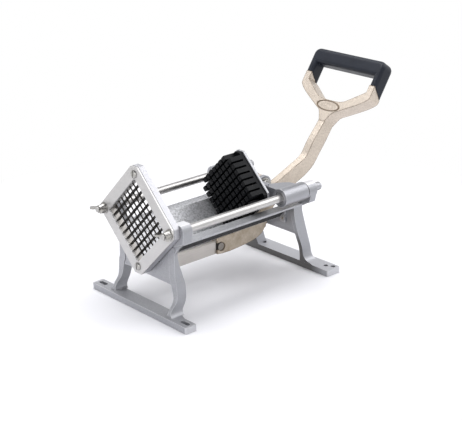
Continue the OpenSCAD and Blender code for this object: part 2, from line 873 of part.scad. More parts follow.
// ---------- lever ----------
module handle_plane() {
    translate([cut_x, 0, cut_z])
        rotate([0, -grip_angle, 0])
            children();
}

module fork_shape() {
    half_out = smooth(fork_out, 3);
    half_in = smooth(fork_in, 3);
    polygon(concat(half_out, turned(half_out), turned(half_in), half_in));
}

module above_cut(extra) {
    translate([extra, -big / 2, 0])
        rotate([0, cut_slant, 0])
            translate([0, 0, -big / 2])
                cube([big, big, big]);
}

module lever_side_shape() {
    polygon(concat(from_point(concat([lever_root], smooth(lever_top), smooth(lever_bend), [lever_neck],
        smooth(lever_back, 3)), pivot_x, rod_height), from_point(lever_end, joint_x, joint_z),
        from_point(concat(smooth(lever_rise), lever_seat), pivot_x, rod_height)));
}

module lever() {
    color(champagne)
        difference() {
            union() {
                plate_xz(-lever_half, lever_half)
                    lever_side_shape();
                bar_y(-lever_half, lever_half, lever_boss_r, pivot_x, rod_height);
                handle_plane() {
                    difference() {
                        translate([0, 0, -fork_depth])
                            linear_extrude(fork_depth)
                                fork_shape();
                        above_cut(0);
                    }
                    for (s = [-1, 1])
                        translate([-22, s * tenon_mid - tenon_half, -fork_depth / 2 - tenon_depth / 2])
                            cube([22 + tenon_len, 2 * tenon_half, tenon_depth]);
                    translate([badge_t, 0, -1])
                        linear_extrude(1 + badge_rise)
                            difference() {
                                polygon(oval(badge_short, badge_long));
                                polygon(oval(badge_short - badge_rim, badge_long - badge_rim));
                            }
                }
            }
            bar_y(-lever_half - 1, lever_half + 1, pivot_d / 2 + run_fit, pivot_x, rod_height);
            box(fork_front - 5, fork_back, -tine_in, tine_in, joint_z - 3 * link_r, joint_z + 3 * link_r);
            bar_y(-lever_half - 1, lever_half + 1, pin_r + seat_fit, joint_x, joint_z);
            bar_y(-lever_half - 1, -lever_half + head_recess, head_r + 0.2, joint_x, joint_z);
            box(fork_front - 5, joint_x, -lever_half - 1, -lever_half + head_recess, joint_z - pocket_low,
                joint_z + pocket_high);
        }
}

module link_pin() {
    color(steel)
        difference() {
            union() {
                bar_y(-lever_half + head_recess - eps, lever_half, pin_r, joint_x, joint_z);
                bar_y(-lever_half + head_recess - head_t, -lever_half + head_recess, head_r, joint_x, joint_z);
            }
            translate([joint_x, -lever_half + head_recess - head_t + socket_t, joint_z])
                rotate([90, 0, 0])
                    cylinder(h = 2, r = socket_r, $fn = 6);
        }
}

// ---------- grip ----------
module grip_ball(t, y, z) {
    translate([t, y, z])
        sphere(r = grip_edge, $fn = 32);
}

module grip_puck(t, y) {
    for (z = [grip_proud - grip_edge, grip_edge - fork_depth - grip_proud])
        translate([t, y, z])
            rotate_extrude($fn = 48)
                polygon(concat([[0, -grip_edge]], [for (k = [-6 : 6])
                    [grip_corner - grip_edge + grip_edge * cos(k * 15), grip_edge * sin(k * 15)]],
                    [[0, grip_edge]]));
}

module handle_grip() {
    z_front = grip_proud - grip_edge;
    z_rear = grip_edge - fork_depth - grip_proud;
    color(grip_black)
        handle_plane()
            difference() {
                union() {
                    hull() {
                        for (s = [-1, 1]) {
                            grip_puck(grip_len - grip_corner, s * (grip_half - grip_corner));
                            for (z = [z_front, z_rear])
                                grip_ball(grip_len - grip_bar + grip_edge, s * (grip_half - grip_edge), z);
                        }
                    }
                    for (s = [-1, 1])
                        intersection() {
                            hull()
                                for (y = [grip_half - grip_edge, grip_half - grip_arm + grip_edge])
                                    for (z = [z_front, z_rear])
                                        for (t = [-35, grip_len - grip_corner])
                                            grip_ball(t, s * y, z);
                            above_cut(0);
                        }
                }
                for (s = [-1, 1])
                    translate([-23, s * tenon_mid - tenon_half - seat_fit,
                        -fork_depth / 2 - tenon_depth / 2 - seat_fit])
                        cube([23 + tenon_len + 0.5, 2 * (tenon_half + seat_fit), tenon_depth + 2 * seat_fit]);
            }
}

// ---------- link ----------
module link() {
    color(link_grey)
        difference() {
            union() {
                box(anchor_x, joint_x, -link_half, link_half, joint_z - link_r, joint_z + link_r);
                bar_y(-link_half, link_half, link_r, anchor_x, joint_z);
                bar_y(-link_half, link_half, link_r, joint_x, joint_z);
            }
            bar_y(-link_half - 1, link_half + 1, pin_r + run_fit, joint_x, joint_z);
            bar_y(-link_half - 1, link_half + 1, anchor_pin_r + bush_wall + seat_fit, anchor_x, joint_z);
        }
}

module link_front_bush() {
    color([0.72, 0.6, 0.4])
        difference() {
            bar_y(-link_half, link_half, anchor_pin_r + bush_wall, anchor_x, joint_z);
            bar_y(-link_half - 1, link_half + 1, anchor_pin_r, anchor_x, joint_z);
        }
}

module link_anchor_screws() {
    color(steel)
        both_sides() {
            bar_y(tine_in, tine_in + ear_plate_t + eps, anchor_pin_r, anchor_x, joint_z);
            bar_y(tine_in + ear_plate_t, tine_in + ear_plate_t + anchor_head_t, anchor_head_r, anchor_x, joint_z);
        }
}

front_support();
rear_support();
left_guide_rod();
right_guide_rod();
rod_end_nuts();
left_trough_wall();
right_trough_wall();
trough_screws();
blade_frame();
blade_clamp_plate();
front_blades();
rear_blades();
blade_frame_screws();
wing_nut_washers();
link_anchor_screws();
left_wing_nut();
right_wing_nut();
crosshead();
crosshead_bushes();
pusher_plate();
pusher_block();
pusher_screws();
lever_pivot_bolt();
lever_pivot_nut();
pivot_washers();
lever();
handle_grip();
link_pin();
link();
link_front_bush();
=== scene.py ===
import bpy
import bmesh
import math
from mathutils import Matrix, Vector

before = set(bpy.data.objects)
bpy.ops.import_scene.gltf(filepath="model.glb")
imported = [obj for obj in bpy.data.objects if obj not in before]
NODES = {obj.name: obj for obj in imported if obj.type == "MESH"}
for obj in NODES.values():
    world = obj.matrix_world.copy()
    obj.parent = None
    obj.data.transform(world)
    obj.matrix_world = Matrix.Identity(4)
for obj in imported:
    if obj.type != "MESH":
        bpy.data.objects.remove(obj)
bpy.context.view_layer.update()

# Dresses the french fry cutter. Every visible piece is a CAD node, which keeps its place and its
# mesh and gets softened edges and a procedural material. The frame has its origin on the table
# midway between the front slots, +X to the handle, +Y to the far side and +Z up.
MM = 0.001

# ---------------------------------------------------------------- camera
# fitted to the photograph's frame of 462 x 421 pixels: angles in degrees, places in metres
CAMERA_AZIMUTH = -41.85
CAMERA_ELEVATION = 20.54
CAMERA_ROLL = -0.82
CAMERA_TARGET = (0.17069, 0.0, 0.10419)
CAMERA_DISTANCE = 1.77899
CAMERA_CLIP = (0.05, 60.0)
LENS, SENSOR_WIDTH = 93.40, 36.0        # mm


def make_camera():
    """Camera at the photograph's viewing angle."""
    az, el, roll = (math.radians(v) for v in (CAMERA_AZIMUTH, CAMERA_ELEVATION, CAMERA_ROLL))
    back = Vector((math.sin(az) * math.cos(el), -math.cos(az) * math.cos(el), math.sin(el)))
    level = Vector((math.cos(az), math.sin(az), 0.0))
    upright = back.cross(level)
    right = level * math.cos(roll) + upright * math.sin(roll)
    up = -level * math.sin(roll) + upright * math.cos(roll)
    data = bpy.data.cameras.new("camera")
    data.lens = LENS
    data.sensor_width = SENSOR_WIDTH
    data.sensor_fit = "HORIZONTAL"
    data.clip_start, data.clip_end = CAMERA_CLIP
    cam = bpy.data.objects.new("camera", data)
    bpy.context.collection.objects.link(cam)
    m = Matrix((right, up, back)).transposed().to_4x4()
    m.translation = Vector(CAMERA_TARGET) + back * CAMERA_DISTANCE
    cam.matrix_world = m
    bpy.context.scene.camera = cam


# ---------------------------------------------------------------- node helpers
NOISE_RANGE = (0.3, 0.7)                # nearly all values of a noise lie in here
# numbers of the Mix node's sockets: factor, A, B and result
MIX_SOCKETS = {"RGBA": (0, 6, 7, 2), "FLOAT": (0, 2, 3, 0)}
SHADER_SAMPLES = 6                      # of the Bevel and Ambient Occlusion nodes
CREVICE_REACH = 2.2                     # mm
CREVICE_OPENNESS = (0.3, 0.75)          # deep in a corner, in the open
BAND_BLEND = 0.3                        # mm


def scaled(color, k):
    """The colour k times as bright, 1 at most."""
    return tuple(min(1.0, x * k) for x in color)


def feed(tree, sock, value):
    """Sets an input to a number or colour, or links it to another node's output."""
    if isinstance(value, (int, float)):
        sock.default_value = value
    elif isinstance(value, tuple):
        sock.default_value = (*value, 1)
    else:
        tree.links.new(value, sock)


def seen_by(tree, *kinds):
    """1 for either of two kinds of ray, such as Is Camera Ray."""
    path = tree.nodes.new("ShaderNodeLightPath")
    either = tree.nodes.new("ShaderNodeMath")
    either.operation = "MAXIMUM"
    for kind, sock in zip(kinds, either.inputs):
        tree.links.new(path.outputs[kind], sock)
    return either.outputs[0]


def mix_shader(tree, fac, first, second):
    """The first shader where the factor is 0, the second where it is 1."""
    m = tree.nodes.new("ShaderNodeMixShader")
    for sock, source in zip(m.inputs, (fac, first, second)):
        tree.links.new(source, sock)
    return m.outputs[0]


class Tree:
    """A new material with the nodes that this scene uses. base is its colour so far."""

    def __init__(self, name):
        self.mat = bpy.data.materials.new(name)
        self.mat.use_nodes = True
        self.t = self.mat.node_tree
        self.bsdf = self.t.nodes["Principled BSDF"]
        self.coord = self.t.nodes.new("ShaderNodeTexCoord")
        self.base = None

    def link(self, a, b):
        self.t.links.new(a, b)

    def specular(self, level):
        self.bsdf.inputs["Specular IOR Level"].default_value = level

    def mapped(self, scale):
        """Object coordinates stretched by a scale."""
        m = self.t.nodes.new("ShaderNodeMapping")
        m.inputs["Scale"].default_value = scale
        self.link(self.coord.outputs["Object"], m.inputs["Vector"])
        return m.outputs["Vector"]

    def noise(self, scale, detail, rough, vector=None):
        """Noise over the object's own coordinates, or over others. The scale is per metre."""
        n = self.t.nodes.new("ShaderNodeTexNoise")
        n.inputs["Scale"].default_value = scale
        n.inputs["Detail"].default_value = detail
        n.inputs["Roughness"].default_value = rough
        self.link(vector if vector else self.coord.outputs["Object"], n.inputs["Vector"])
        return n.outputs["Fac"]

    def span(self, value, at_low, at_high, low=NOISE_RANGE[0], high=NOISE_RANGE[1]):
        """Maps low..high to at_low..at_high, and stays at those outside."""
        m = self.t.nodes.new("ShaderNodeMapRange")
        m.inputs["From Min"].default_value = low
        m.inputs["From Max"].default_value = high
        m.inputs["To Min"].default_value = at_low
        m.inputs["To Max"].default_value = at_high
        self.link(value, m.inputs["Value"])
        return m.outputs["Result"]

    def rise(self, value, low, high):
        """0 below low and 1 above high, both in mm, for a length in metres."""
        return self.span(value, 0.0, 1.0, low * MM, high * MM)

    def fall(self, value, low, high):
        """1 below low and 0 above high, both in mm, for a length in metres."""
        return self.span(value, 1.0, 0.0, low * MM, high * MM)

    def band(self, value, low, high):
        """1 between low and high, in mm, for a length in metres."""
        above = self.rise(value, low - BAND_BLEND, low)
        return self.calc("MULTIPLY", above, self.fall(value, high, high + BAND_BLEND))

    def calc(self, kind, a, b=0.0):
        """One step of arithmetic."""
        m = self.t.nodes.new("ShaderNodeMath")
        m.operation = kind
        feed(self.t, m.inputs[0], a)
        feed(self.t, m.inputs[1], b)
        return m.outputs[0]

    def product(self, first, *others):
        """All the values multiplied."""
        for other in others:
            first = self.calc("MULTIPLY", first, other)
        return first

    def mix(self, fac, a, b, kind="RGBA"):
        """A where the factor is 0 and B where it is 1: colours, or numbers with FLOAT."""
        m = self.t.nodes.new("ShaderNodeMix")
        m.data_type = kind
        factor, first, second, result = MIX_SOCKETS[kind]
        for index, value in ((factor, fac), (first, a), (second, b)):
            feed(self.t, m.inputs[index], value)
        return m.outputs[result]

    def along(self, axis):
        """Object coordinate along X, Y or Z, in metres."""
        sep = self.t.nodes.new("ShaderNodeSeparateXYZ")
        self.link(self.coord.outputs["Object"], sep.inputs[0])
        return sep.outputs[axis]

    def off(self, axis, centre=0.0):
        """Distance along an axis from a centre given in mm, in metres."""
        return self.calc("ABSOLUTE", self.calc("SUBTRACT", self.along(axis), centre * MM))

    def around(self, centre, half_axes, turn=0.0):
        """Distance from a point, in half axes of an ellipsoid turned about Y: mm and degrees."""
        m = self.t.nodes.new("ShaderNodeMapping")
        m.vector_type = "TEXTURE"
        m.inputs["Location"].default_value = tuple(c * MM for c in centre)
        m.inputs["Rotation"].default_value = (0, math.radians(turn), 0)
        m.inputs["Scale"].default_value = tuple(c * MM for c in half_axes)
        self.link(self.coord.outputs["Object"], m.inputs["Vector"])
        return self.length(m.outputs["Vector"])

    def length(self, vector):
        """Length of a vector."""
        n = self.t.nodes.new("ShaderNodeVectorMath")
        n.operation = "LENGTH"
        self.link(vector, n.inputs[0])
        return n.outputs["Value"]

    def facing(self, axis, full, none):
        """1 where the face's normal along the axis is at full, 0 where it is at none."""
        geo = self.t.nodes.new("ShaderNodeNewGeometry")
        sep = self.t.nodes.new("ShaderNodeSeparateXYZ")
        self.link(geo.outputs["True Normal"], sep.inputs[0])
        return self.span(sep.outputs[axis], 1.0, 0.0, full, none)

    def edge(self, radius, sharp, flat):
        """1 along the edges of the solid, 0 on its faces. The radius is in mm."""
        bev = self.t.nodes.new("ShaderNodeBevel")
        bev.samples = SHADER_SAMPLES
        bev.inputs["Radius"].default_value = radius * MM
        geo = self.t.nodes.new("ShaderNodeNewGeometry")
        dot = self.t.nodes.new("ShaderNodeVectorMath")
        dot.operation = "DOT_PRODUCT"
        self.link(bev.outputs["Normal"], dot.inputs[0])
        self.link(geo.outputs["Normal"], dot.inputs[1])
        return self.span(dot.outputs["Value"], 1.0, 0.0, sharp, flat)

    def crevice(self):
        """1 deep in the corners where faces or pieces meet, 0 in the open."""
        ao = self.t.nodes.new("ShaderNodeAmbientOcclusion")
        ao.samples = SHADER_SAMPLES
        ao.inputs["Distance"].default_value = CREVICE_REACH * MM
        return self.span(ao.outputs["AO"], 1.0, 0.0, *CREVICE_OPENNESS)

    def bump(self, height, strength, distance, after=None):
        """Normal from a height, the distance in metres, on top of another bump."""
        b = self.t.nodes.new("ShaderNodeBump")
        b.inputs["Strength"].default_value = strength
        b.inputs["Distance"].default_value = distance
        self.link(height, b.inputs["Height"])
        if after:
            self.link(after, b.inputs["Normal"])
        return b.outputs["Normal"]

    def cloud(self, fac, color, spread):
        """First coat: the colour, darker and lighter by the spread as the noise goes."""
        r = self.t.nodes.new("ShaderNodeValToRGB")
        ends = zip(r.color_ramp.elements, NOISE_RANGE, (1 - spread, 1 + spread))
        for element, position, k in ends:
            element.position = position
            element.color = (*scaled(color, k), 1)
        self.link(fac, r.inputs["Fac"])
        self.base = r.outputs["Color"]

    def paint(self, color, mask, share=None):
        """Next coat: the colour where the mask is 1, or a share of it."""
        fac = mask if share is None else self.calc("MULTIPLY", mask, share)
        self.base = self.mix(fac, self.base, color)

    def put(self, rough=None, metal=None, normal=None):
        """Connects the base colour, and what else is given, to the shader."""
        inputs = self.bsdf.inputs
        feed(self.t, inputs["Base Color"], self.base)
        for key, value in (("Roughness", rough), ("Metallic", metal), ("Normal", normal)):
            if value is not None:
                feed(self.t, inputs[key], value)
        return self


# ---------------------------------------------------------------- colours
# linear base colours
CAST = (0.46, 0.465, 0.49)
CAST_SHADE = (0.12, 0.117, 0.113)        # painted shade on as-cast faces that look down, and on the rear foot's front
EDGE_WEAR_HIGHLIGHT = (0.78, 0.78, 0.80)             # worn edges, partly a painted highlight
CREVICE_SHADE = (0.03, 0.028, 0.026)            # painted shade in corners, joints and gaps
# painted highlight on the flat tops of the front rod bosses
BOSS_TOP_HIGHLIGHT = (0.74, 0.74, 0.76)
# painted shade on the supports' faces that look to the near side
SUPPORT_SIDE_SHADE = (0.345, 0.35, 0.37)
# painted light on the end faces of the foot bars
FOOT_END_LIGHT = (0.60, 0.60, 0.62)
# painted light on the tops of the rear foot
REAR_FOOT_TOP_LIGHT = (0.53, 0.535, 0.56)
CROSSHEAD = (0.39, 0.395, 0.42)
PUSHER_PLATE = (0.44, 0.445, 0.465)
TROUGH = (0.68, 0.685, 0.71)
# painted shade on the near side of the trough
TROUGH_NEAR_SHADE = (0.40, 0.405, 0.425)
# painted shade, nearly black, on the trough's faces that look down
TROUGH_UNDER_SHADE = (0.010, 0.009, 0.008)
CASSETTE = (0.55, 0.55, 0.58)
# painted shade on the walls of the cassette's opening
CASSETTE_OPENING_SHADE = (0.36, 0.345, 0.33)
CLAMP_PLATE = (0.60, 0.59, 0.585)
ROD = (0.53, 0.52, 0.51)
BLADE = (0.034, 0.029, 0.024)
FASTENER = (0.46, 0.45, 0.43)
# dark oiled steel, darkened further as painted shade of its recess
PIN_OILED_AND_SHADED = (0.28, 0.26, 0.235)
LINK = (0.55, 0.52, 0.49)
BUSH = (0.5, 0.5, 0.51)
CHAMPAGNE = (0.70, 0.615, 0.525)
LEVER_LINE = (0.14, 0.098, 0.06)
# painted shade, warm and blotchy, low on the lever
LEVER_LOW_SHADE = (0.36, 0.30, 0.22)
# painted shade in the recess round the link pin
PIN_RECESS_SHADE = (0.02, 0.017, 0.014)
PUSHER = (0.0025, 0.003, 0.0042)
GRIP = (0.0095, 0.0125, 0.021)

# ---------------------------------------------------------------- cast metals
CLOUD_NOISE = (38, 4, 0.55)             # scale, detail and roughness of a noise
GRAIN_NOISE = (1100, 2, 0.6)
GRAIN_SHADE, GRAIN_SHARE = 0.6, 0.3     # how dark the grain is, and how much of it shows
GRAIN_DEPTH = 0.00035                   # m
PIT_DETAIL, PIT_ROUGHNESS = 3, 0.7
PIT_RANGE, PIT_SHADE = (0.42, 0.62), 0.45
DOWN_ROUGHNESS = 0.85
RIM_RADIUS, RIM_RANGE, RIM_SHARE = 1.6, (0.9, 0.995), 0.7
CAST_CREVICE_SHADE = 0.9
# how far a face's normal lies along an axis, where it counts fully and not at all
LOOKS_DOWN = ("Z", -0.75, -0.35)
LOOKS_UP = ("Z", 0.95, 0.6)
LOOKS_NEAR = ("Y", -0.95, -0.6)
LOOKS_FRONT = ("X", -0.85, -0.5)

# lengths in mm over which a zone of a casting begins or ends
BOSS_TOP_Z = (144.8, 145.3)             # flat tops of the front rod bosses, above
BOSS_Z = (117, 121)                     # rod bosses, above
STOP_X = (248.0, 249.1)                 # front face of the rear bosses
REAR_X = (200, 210)                     # rear support, behind
FOOT_TOP_Z = (20, 30)                   # top of a foot bar, below
FOOT_FRONT_Z = (45, 65)                 # painted shade on the front of the rear foot, below
FOOT_END_Y = (103.5, 104.5)             # end faces of the foot bars, outside
FOOT_FADE_Y, FOOT_FADE = (70, 95), 0.15 # that painted shade fades to this share of itself, outside
NEAR_WALL_Y = (-52, -48)                # near side of the trough, below
CROSSHEAD_REAR_X = (246.6, 247.1)       # rear face of the sleeves, behind
ROD_Z = 135.0
OPENING_HALF_DIAGONAL = (64.0, 64.5)    # walls of the cassette's opening, inside


def cast_metal(name, color, metal=0.8, rough=(0.34, 0.5), grain=0.5, spread=0.03, shade_below=None,
               worn_lit_edge=None, speck=0.12, pit_depth=0.0004, pit_scale=620):
    """Satin casting: faint clouds, fine grain, dark specks in soft pits and painted shade in the
    corners. rough is its least and greatest roughness. The colour given for faces that look down
    is painted shade, and the one for the edges is wear with a painted highlight."""
    t = Tree(name)
    cloud = t.noise(*CLOUD_NOISE)
    fine = t.noise(*GRAIN_NOISE)
    pits = t.noise(pit_scale, PIT_DETAIL, PIT_ROUGHNESS)
    t.cloud(cloud, color, spread)
    t.paint(scaled(color, GRAIN_SHADE), t.span(fine, 0.0, GRAIN_SHARE))
    t.paint(scaled(color, PIT_SHADE), t.span(pits, 0.0, speck * 2, *PIT_RANGE))
    roughness = t.span(pits, *rough)
    if shade_below:
        below = t.facing(*LOOKS_DOWN)
        # painted shade on the faces that look down
        t.paint(shade_below, below)
        roughness = t.mix(below, roughness, DOWN_ROUGHNESS, "FLOAT")
        metal = t.mix(below, metal, 0.0, "FLOAT")
    if worn_lit_edge:
        # lighter edges: wear and a painted highlight
        t.paint(worn_lit_edge, t.edge(RIM_RADIUS, *RIM_RANGE), RIM_SHARE)
    # painted shade in the corners where faces or pieces meet
    t.paint(CREVICE_SHADE, t.crevice(), CAST_CREVICE_SHADE)
    normal = t.bump(pits, grain, pit_depth, t.bump(fine, grain, GRAIN_DEPTH))
    return t.put(roughness, metal, normal)


def support_metal():
    """Painted light on boss tops, foot tops and foot ends; painted shade on near sides, rear foot
    front, stop gap.
    """
    t = cast_metal("support_alloy", CAST, metal=0.68, rough=(0.36, 0.52), shade_below=CAST_SHADE,
                   worn_lit_edge=EDGE_WEAR_HIGHLIGHT)
    x, z, side = t.along("X"), t.along("Z"), t.off("Y")
    rear = t.rise(x, *REAR_X)
    lit_foot_top = t.product(t.facing(*LOOKS_UP), t.fall(z, *FOOT_TOP_Z), rear)
    shaded_foot_front = t.product(t.facing(*LOOKS_FRONT), rear, t.fall(z, *FOOT_FRONT_Z),
                           t.span(side, 1.0, FOOT_FADE, *(y * MM for y in FOOT_FADE_Y)))
    # painted highlight on the boss tops
    t.paint(BOSS_TOP_HIGHLIGHT, t.rise(z, *BOSS_TOP_Z))
    # painted shade on the faces that look to the near side
    t.paint(SUPPORT_SIDE_SHADE, t.facing(*LOOKS_NEAR), share=0.75)
    # painted light on the end faces of the foot bars
    t.paint(FOOT_END_LIGHT, t.rise(side, *FOOT_END_Y), share=0.8)
    # painted light on the top of the rear foot
    t.paint(REAR_FOOT_TOP_LIGHT, lit_foot_top)
    # painted shade on the boss face beside the stop gap
    t.paint(CREVICE_SHADE, t.product(t.band(x, *STOP_X), t.rise(z, *BOSS_Z)))
    # painted shade on the front of the rear foot
    t.paint(CAST_SHADE, shaded_foot_front, share=0.95)
    return t.put()


def crosshead_metal():
    """Smoother casting, with painted shade on the sleeves' rear faces at the stop gap."""
    t = cast_metal("crosshead_alloy", CROSSHEAD, rough=(0.34, 0.46), grain=0.25, speck=0.05,
                   shade_below=CAST_SHADE, worn_lit_edge=EDGE_WEAR_HIGHLIGHT)
    # painted shade on the sleeves' rear faces at the stop gap
    t.paint(CREVICE_SHADE, t.rise(t.along("X"), *CROSSHEAD_REAR_X))
    return t.put()


def trough_metal():
    """Rough speckled casting, with painted shade on the near wall and black painted shade on the
    faces that look down.
    """
    t = cast_metal("trough_alloy", TROUGH, rough=(0.36, 0.52), grain=0.8, speck=0.4,
                   pit_scale=330, pit_depth=0.0006, shade_below=TROUGH_UNDER_SHADE, worn_lit_edge=EDGE_WEAR_HIGHLIGHT)
    t.specular(0.0)
    # painted shade on the near wall
    t.paint(TROUGH_NEAR_SHADE, t.fall(t.along("Y"), *NEAR_WALL_Y), share=0.75)
    return t.put()


def cassette_metal():
    """Cassette casting, with painted shade on the walls of its square opening, which stands on a
    corner.
    """
    t = cast_metal("cassette_alloy", CASSETTE, rough=(0.34, 0.48), grain=0.4, speck=0.05,
                   worn_lit_edge=EDGE_WEAR_HIGHLIGHT)
    from_centre = t.calc("ADD", t.off("Y"), t.off("Z", ROD_Z))
    # painted shade on the walls of the opening
    t.paint(CASSETTE_OPENING_SHADE, t.fall(from_centre, *OPENING_HALF_DIAGONAL))
    return t.put()


# mm and degrees: centre, half axes and turn of the oval badge field, and of the painted shade round
# the pin
BADGE = ((376.2, 0, 225.0), (8.0, 22.7, 3.0), -56)
PIN_SHADE_SPOT = ((142.5, -3.0, 57), (11, 3.05, 9))
# shares of the half axes over which a zone begins or ends
OUTLINE_FROM, OUTLINE_TO = (0.86, 0.95), (1.02, 1.12)
STAINS_TO, PIN_SHADE_SPOT_TO = (0.6, 0.85), (0.8, 1.0)
LOW_SHADE_Z = (85, 150)                      # mm
LOW_SHADE_NOISE, LOW_SHADE_SHARES = (90, 4, 0.6), (0.35, 0.95)
STAIN_NOISE, STAIN_SHARE = (260, 3, 0.6), 0.35
LINE_RADIUS, LINE_RANGE = 2.2, (0.93, 0.997)


def lever_metal():
    """Champagne casting: blotchy painted shade low down, thin dark line along its edges, outlined
    badge field with dark stains, and painted shade round the link pin."""
    t = cast_metal("lever_metal", CHAMPAGNE, metal=0.55, rough=(0.36, 0.52), grain=0.6,
                   spread=0.05, pit_scale=420, speck=0.14)
    low = t.fall(t.along("Z"), *LOW_SHADE_Z)
    badge = t.around(*BADGE)
    outline = t.product(t.span(badge, 0.0, 1.0, *OUTLINE_FROM),
                        t.span(badge, 1.0, 0.0, *OUTLINE_TO))
    stains = t.product(t.span(badge, STAIN_SHARE, 0.0, *STAINS_TO),
                       t.span(t.noise(*STAIN_NOISE), 0.0, 1.0))
    # painted shade low on the lever
    t.paint(LEVER_LOW_SHADE, t.product(low, t.span(t.noise(*LOW_SHADE_NOISE), *LOW_SHADE_SHARES)))
    t.paint(LEVER_LINE, t.edge(LINE_RADIUS, *LINE_RANGE), share=0.9)
    t.paint(LEVER_LINE, outline, share=0.85)
    t.paint(LEVER_LINE, stains)
    # painted shade in the recess round the link pin
    t.paint(PIN_RECESS_SHADE, t.span(t.around(*PIN_SHADE_SPOT), 1.0, 0.0, *PIN_SHADE_SPOT_TO))
    return t.put()


# ---------------------------------------------------------------- ground metals and plastics
X_AXIS, Y_AXIS, Z_AXIS = range(3)
STREAK_STRETCH = 0.03                   # scale along the streaks, 1 across them
STREAK_NOISE = (900, 3, 0.6)
STREAK_SHADE, STREAK_SHARE = 0.82, 0.3
STREAK_DEPTH = 0.0002                   # m
TARNISH_NOISE, TARNISH_SPREAD = (30, 3, 0.5), 0.05
BRUSHED_CREVICE_SHADE = 0.8
MOULD_NOISE = (1100, 3, 0.6)
MOULD_GRAIN, MOULD_DEPTH = 0.2, 0.0003  # strength, m
SHINE_NOISE, SHINE_SPREAD = (45, 3, 0.5), 0.15


def brushed_metal(name, color, streaks, metal, rough, strength, gloss=0.5):
    """Brushed or ground surface: streaks along one axis, faint clouds and painted shade in the
    corners.
    """
    t = Tree(name)
    stretch = tuple(STREAK_STRETCH if axis == streaks else 1.0 for axis in range(3))
    streak = t.noise(*STREAK_NOISE, t.mapped(stretch))
    t.cloud(t.noise(*TARNISH_NOISE), color, TARNISH_SPREAD)
    t.paint(scaled(color, STREAK_SHADE), t.span(streak, 0.0, STREAK_SHARE))
    # painted shade in the corners where faces or pieces meet
    t.paint(CREVICE_SHADE, t.crevice(), BRUSHED_CREVICE_SHADE)
    t.specular(gloss)
    return t.put(t.span(streak, *rough), metal, t.bump(streak, strength, STREAK_DEPTH))


def moulded_plastic(name, color, rough, gloss):
    """Black moulded plastic: fine grain and patches of more and less shine."""
    t = Tree(name)
    fine = t.noise(*MOULD_NOISE)
    cloud = t.noise(*SHINE_NOISE)
    t.cloud(cloud, color, SHINE_SPREAD)
    t.specular(gloss)
    return t.put(t.span(cloud, *rough), 0.0, t.bump(fine, MOULD_GRAIN, MOULD_DEPTH))


LOOKS = {
    "alloy": cast_metal("cast_alloy", CAST, shade_below=CAST_SHADE, worn_lit_edge=EDGE_WEAR_HIGHLIGHT),
    "support": support_metal(),
    "crosshead": crosshead_metal(),
    "flat": cast_metal("pusher_plate_alloy", PUSHER_PLATE, grain=0.3, speck=0.05),
    "trough": trough_metal(),
    "frame": cassette_metal(),
    "plate": brushed_metal("brushed_plate", CLAMP_PLATE, Y_AXIS, metal=0.55, rough=(0.28, 0.38),
                           strength=0.06),
    "rod": brushed_metal("rod_steel", ROD, X_AXIS, metal=1.0, rough=(0.3, 0.4), strength=0.05),
    "blade": brushed_metal("blade_steel", BLADE, Y_AXIS, metal=0.8, rough=(0.4, 0.55),
                           strength=0.06, gloss=0.1),
    "bolt": brushed_metal("fastener_steel", FASTENER, Z_AXIS, metal=1.0, rough=(0.2, 0.34),
                          strength=0.05),
    "pin": brushed_metal("pin_steel", PIN_OILED_AND_SHADED, Z_AXIS, metal=1.0, rough=(0.25, 0.4), strength=0.08),
    "lever": lever_metal(),
    "link": brushed_metal("link_metal", LINK, X_AXIS, metal=0.7, rough=(0.32, 0.46),
                          strength=0.1),
    "bush": brushed_metal("bush_steel", BUSH, X_AXIS, metal=0.9, rough=(0.3, 0.45),
                          strength=0.06),
    "pusher": moulded_plastic("pusher_plastic", PUSHER, rough=(0.42, 0.56), gloss=0.17),
    "grip": moulded_plastic("grip_plastic", GRIP, rough=(0.36, 0.48), gloss=0.3),
}

LOOK_OF = {
    "front_support": "support", "rear_support": "support",
    "left_guide_rod": "rod", "right_guide_rod": "rod", "rod_end_nuts": "alloy",
    "left_trough_wall": "trough", "right_trough_wall": "trough", "trough_screws": "bolt",
    "blade_frame": "frame", "blade_clamp_plate": "plate", "blade_frame_screws": "bolt",
    "front_blades": "blade", "rear_blades": "blade",
    "left_wing_nut": "bolt", "right_wing_nut": "bolt", "wing_nut_washers": "bolt",
    "crosshead": "crosshead", "crosshead_bushes": "bush",
    "pusher_plate": "flat", "pusher_block": "pusher", "pusher_screws": "bolt",
    "lever_pivot_bolt": "bolt", "lever_pivot_nut": "bolt", "pivot_washers": "bolt",
    "lever": "lever", "handle_grip": "grip",
    "link": "link", "link_pin": "pin", "link_front_bush": "bush", "link_anchor_screws": "bolt",
}

# ---------------------------------------------------------------- softened edges
# mm by which the edges of a CAD node are rounded
BEVEL_WIDTH = {
    "front_support": 1.2, "rear_support": 1.2,
    "left_guide_rod": 0.7, "right_guide_rod": 0.7, "rod_end_nuts": 0.3,
    "left_trough_wall": 0.7, "right_trough_wall": 0.7, "trough_screws": 0.3,
    "blade_frame": 0.5, "blade_clamp_plate": 0.35,
    "left_wing_nut": 0.7, "right_wing_nut": 0.7, "wing_nut_washers": 0.2,
    "crosshead": 1.0, "crosshead_bushes": 0.4,
    "pusher_plate": 0.6, "pusher_block": 0.3, "pusher_screws": 0.4,
    "lever_pivot_bolt": 0.5, "lever_pivot_nut": 0.5, "pivot_washers": 0.2, "lever": 0.5,
    "link": 0.6, "link_pin": 0.25, "link_anchor_screws": 0.3,
}
WELD_GAP = 0.02                         # mm
FLAT_ANGLE = 0.4                        # degrees between faces that count as one flat face
SHARP_ANGLE = 32                        # degrees from which an edge is rounded
BEVEL_SEGMENTS = 2
FACE_WEIGHT = 100


